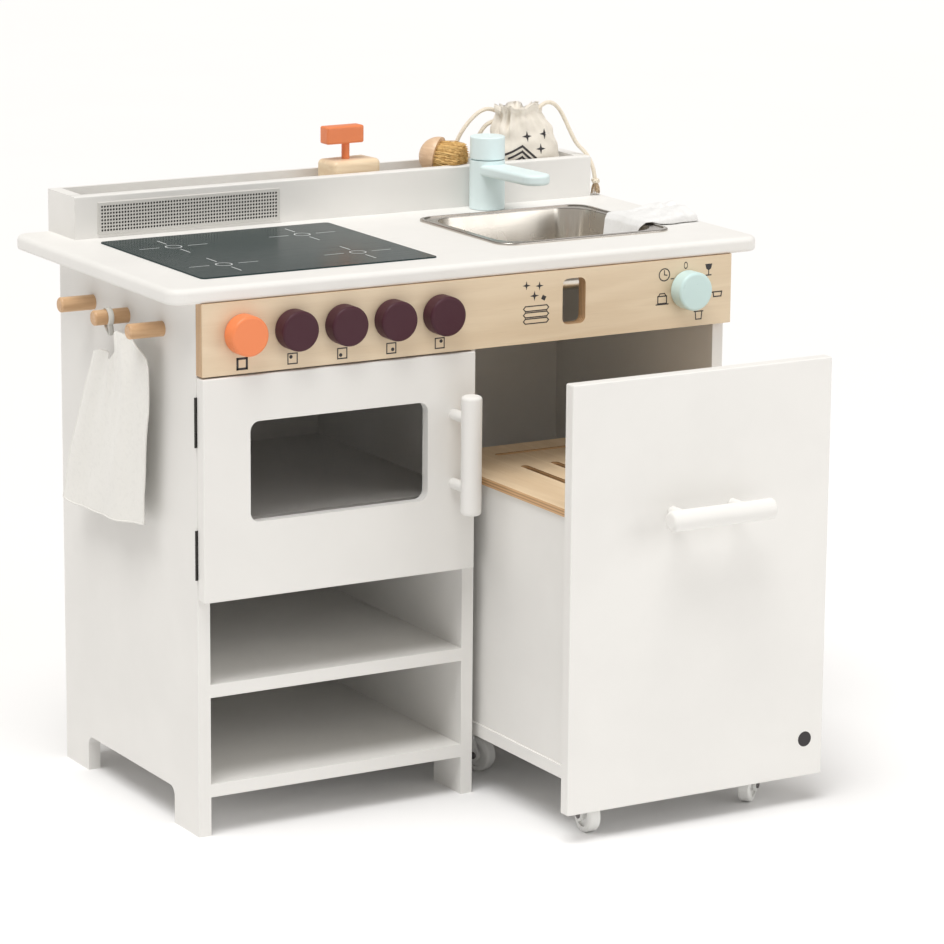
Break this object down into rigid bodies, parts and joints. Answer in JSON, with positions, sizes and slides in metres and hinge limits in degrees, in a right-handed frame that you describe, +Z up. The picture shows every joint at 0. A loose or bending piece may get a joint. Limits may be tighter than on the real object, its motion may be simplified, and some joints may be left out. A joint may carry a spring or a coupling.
{
  "type": "toy kitchen",
  "caption": "Wooden play kitchen with hob, sink, swivel faucet, turning knobs, hinged oven door, coat pegs and a slotted dishwasher trolley on casters.",
  "frame": {"origin": "middle of the overall box with the trolley pulled out, on the floor", "axes": "+X to the right of someone facing the oven door, +Y towards the back, +Z up"},
  "size_m": [0.619, 0.5444, 0.5963],
  "materials": {
    "white_board": "satin white paint on fibreboard",
    "birch_ply": "clear-coated birch plywood",
    "beech": "clear-coated turned beech",
    "orange_paint": "satin orange paint on wood",
    "purple_paint": "satin dark purple paint on wood",
    "mint_paint": "satin pale mint paint on wood",
    "hob_glass": "glossy dark plate with fine printed marks",
    "sink_steel": "pressed brushed steel",
    "hinge_steel": "plated steel",
    "clear_pane": "clear acrylic",
    "caster_plastic": "translucent white moulded plastic",
    "grille_paint": "fine square mesh, white paint",
    "towel_cotton": "soft ivory cotton",
    "bag_canvas": "natural cotton canvas",
    "bag_rope": "twisted cotton cord",
    "brush_fibre": "stiff plant fibre bristles",
    "cloth_white": "thin white cloth"
  },
  "bodies": {
    "cabinet": {"left_side_panel": "white_board", "right_side_panel": "white_board", "centre_divider": "white_board", "back_panel": "white_board", "bottom_shelf": "white_board", "middle_shelf": "white_board", "oven_floor": "white_board", "oven_rack": "white_board", "worktop": "white_board", "control_panel": "birch_ply", "tray_front": "white_board", "tray_back": "white_board", "tray_ends": "white_board", "vent_grille": "grille_paint", "hob_plate": "hob_glass", "sink_basin": "sink_steel", "coat_pegs": "beech", "hinge_side_leaves": "hinge_steel", "hinge_pins": "hinge_steel", "wood_dowels": "beech", "faucet_dowel": "beech", "knob_studs": "hinge_steel"},
    "oven_door": {"oven_door": "white_board", "window_pane": "clear_pane", "oven_handle_bar": "white_board", "oven_handle_posts": "white_board", "hinge_door_leaves": "hinge_steel"},
    "faucet": {"faucet_body": "mint_paint"},
    "faucet_cap": {"faucet_cap": "mint_paint"},
    "trolley": {"trolley_front": "white_board", "trolley_base": "white_board", "trolley_side_walls": "white_board", "trolley_back_wall": "white_board", "trolley_handle_bar": "white_board", "trolley_handle_posts": "white_board", "caster_plates": "caster_plastic"},
    "dish_rack": {"dish_rack": "birch_ply"},
    "knob_orange": {"knob_orange": "orange_paint"},
    "knob_purple_1": {"knob_purple_1": "purple_paint"},
    "knob_purple_2": {"knob_purple_2": "purple_paint"},
    "knob_purple_3": {"knob_purple_3": "purple_paint"},
    "knob_purple_4": {"knob_purple_4": "purple_paint"},
    "knob_mint_dial": {"knob_mint_dial": "mint_paint"},
    "caster_yoke_front_left": {"caster_yoke_front_left": "caster_plastic"},
    "caster_wheel_front_left": {"caster_wheel_front_left": "caster_plastic"},
    "caster_yoke_front_right": {"caster_yoke_front_right": "caster_plastic"},
    "caster_wheel_front_right": {"caster_wheel_front_right": "caster_plastic"},
    "caster_yoke_rear_left": {"caster_yoke_rear_left": "caster_plastic"},
    "caster_wheel_rear_left": {"caster_wheel_rear_left": "caster_plastic"},
    "caster_yoke_rear_right": {"caster_yoke_rear_right": "caster_plastic"},
    "caster_wheel_rear_right": {"caster_wheel_rear_right": "caster_plastic"},
    "towel": {"towel": "towel_cotton"},
    "storage_bag": {"storage_bag": "bag_canvas", "bag_cord_left": "bag_rope", "bag_cord_right": "bag_rope"},
    "dish_brush": {"brush_head": "beech", "brush_bristles": "brush_fibre"},
    "soap_dispenser": {"soap_bottle": "beech", "soap_pump": "orange_paint"},
    "dish_cloth": {"dish_cloth": "cloth_white"}
  },
  "joints": [
    {"name": "oven_door_hinge", "type": "hinge", "parent": "cabinet", "child": "oven_door", "pos_m": [-0.2769, -0.05355, 0.32], "axis": [0, 0, -1], "range_deg": [0, 170]},
    {"name": "faucet_swivel", "type": "hinge", "parent": "cabinet", "child": "faucet", "pos_m": [0.1625, 0.19375, 0.502], "axis": [0, 0, 1], "range_deg": [-90, 90]},
    {"name": "faucet_cap_turn", "type": "hinge", "parent": "faucet", "child": "faucet_cap", "pos_m": [0.1625, 0.19375, 0.56], "axis": [0, 0, 1], "continuous": true},
    {"name": "knob_orange_turn", "type": "hinge", "parent": "cabinet", "child": "knob_orange", "pos_m": [-0.2361, -0.07275, 0.4587], "axis": [0, -1, 0], "continuous": true},
    {"name": "knob_purple_1_turn", "type": "hinge", "parent": "cabinet", "child": "knob_purple_1", "pos_m": [-0.1864, -0.07275, 0.4587], "axis": [0, -1, 0], "continuous": true},
    {"name": "knob_purple_2_turn", "type": "hinge", "parent": "cabinet", "child": "knob_purple_2", "pos_m": [-0.1367, -0.07275, 0.4587], "axis": [0, -1, 0], "continuous": true},
    {"name": "knob_purple_3_turn", "type": "hinge", "parent": "cabinet", "child": "knob_purple_3", "pos_m": [-0.087, -0.07275, 0.4587], "axis": [0, -1, 0], "continuous": true},
    {"name": "knob_purple_4_turn", "type": "hinge", "parent": "cabinet", "child": "knob_purple_4", "pos_m": [-0.0373, -0.07275, 0.4587], "axis": [0, -1, 0], "continuous": true},
    {"name": "knob_mint_dial_turn", "type": "hinge", "parent": "cabinet", "child": "knob_mint_dial", "pos_m": [0.2267, -0.07275, 0.4587], "axis": [0, -1, 0], "continuous": true},
    {"name": "trolley_roll", "type": "slide", "parent": "cabinet", "child": "trolley", "axis": [0, -1, 0], "range_m": [-0.1644, 0.15]},
    {"name": "dish_rack_lift", "type": "slide", "parent": "trolley", "child": "dish_rack", "axis": [0, 0, 1], "range_m": [0, 0.1]},
    {"name": "caster_front_left_swivel", "type": "hinge", "parent": "trolley", "child": "caster_yoke_front_left", "pos_m": [0.0415, -0.18675, 0.046], "axis": [0, 0, 1], "continuous": true},
    {"name": "caster_front_left_roll", "type": "hinge", "parent": "caster_yoke_front_left", "child": "caster_wheel_front_left", "pos_m": [0.04011, -0.20269, 0.0165], "axis": [0.9962, -0.0872, 0], "continuous": true},
    {"name": "caster_front_right_swivel", "type": "hinge", "parent": "trolley", "child": "caster_yoke_front_right", "pos_m": [0.2295, -0.18675, 0.046], "axis": [0, 0, 1], "continuous": true},
    {"name": "caster_front_right_roll", "type": "hinge", "parent": "caster_yoke_front_right", "child": "caster_wheel_front_right", "pos_m": [0.21761, -0.19746, 0.0165], "axis": [0.6691, -0.7431, 0], "continuous": true},
    {"name": "caster_rear_left_swivel", "type": "hinge", "parent": "trolley", "child": "caster_yoke_rear_left", "pos_m": [0.0415, 0.01925, 0.046], "axis": [0, 0, 1], "continuous": true},
    {"name": "caster_rear_left_roll", "type": "hinge", "parent": "caster_yoke_rear_left", "child": "caster_wheel_rear_left", "pos_m": [0.04749, 0.00441, 0.0165], "axis": [0.9272, 0.3746, 0], "continuous": true},
    {"name": "caster_rear_right_swivel", "type": "hinge", "parent": "trolley", "child": "caster_yoke_rear_right", "pos_m": [0.2295, 0.01925, 0.046], "axis": [0, 0, 1], "continuous": true},
    {"name": "caster_rear_right_roll", "type": "hinge", "parent": "caster_yoke_rear_right", "child": "caster_wheel_rear_right", "pos_m": [0.22403, 0.00421, 0.0165], "axis": [0.9397, -0.342, 0], "continuous": true},
    {"name": "towel_pull_off", "type": "slide", "parent": "cabinet", "child": "towel", "axis": [-1, 0, 0], "range_m": [0, 0.06]},
    {"name": "bag_lift_out", "type": "slide", "parent": "cabinet", "child": "storage_bag", "axis": [0, 0, 1], "range_m": [0, 0.12]},
    {"name": "brush_lift_out", "type": "slide", "parent": "cabinet", "child": "dish_brush", "axis": [0, 0, 1], "range_m": [0, 0.1]},
    {"name": "soap_lift_out", "type": "slide", "parent": "cabinet", "child": "soap_dispenser", "axis": [0, 0, 1], "range_m": [0, 0.1]},
    {"name": "cloth_lift_off", "type": "slide", "parent": "cabinet", "child": "dish_cloth", "axis": [0, 0, 1], "range_m": [0, 0.08]}
  ]
}
